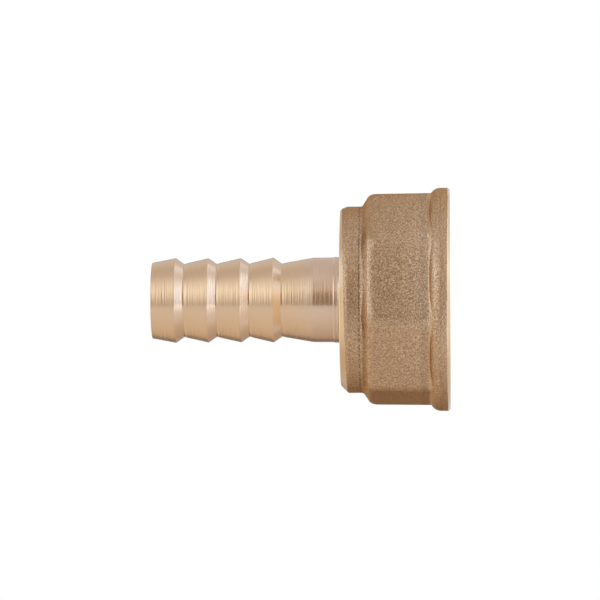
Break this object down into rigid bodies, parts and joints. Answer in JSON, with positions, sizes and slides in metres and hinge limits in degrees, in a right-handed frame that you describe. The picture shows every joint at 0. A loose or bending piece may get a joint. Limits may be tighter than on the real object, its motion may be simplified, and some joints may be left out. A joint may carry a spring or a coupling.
{
  "type": "threaded hose nipple",
  "caption": "Straight brass hose nipple: female pipe thread in a forged octagonal body with a round flange, and a turned barbed tail for a hose.",
  "frame": {"origin": "centre of the mouth's rim, on the plane the fitting stands on", "axes": "+Z along the axis from the threaded mouth to the barbed tip; one spanner flat faces +X"},
  "size_m": [0.0274, 0.0274, 0.0366],
  "materials": {
    "brass": "forged and blasted body, turned tail, collar face and mouth"
  },
  "bodies": {
    "root": {"hose_nipple": "brass"}
  },
  "joints": []
}
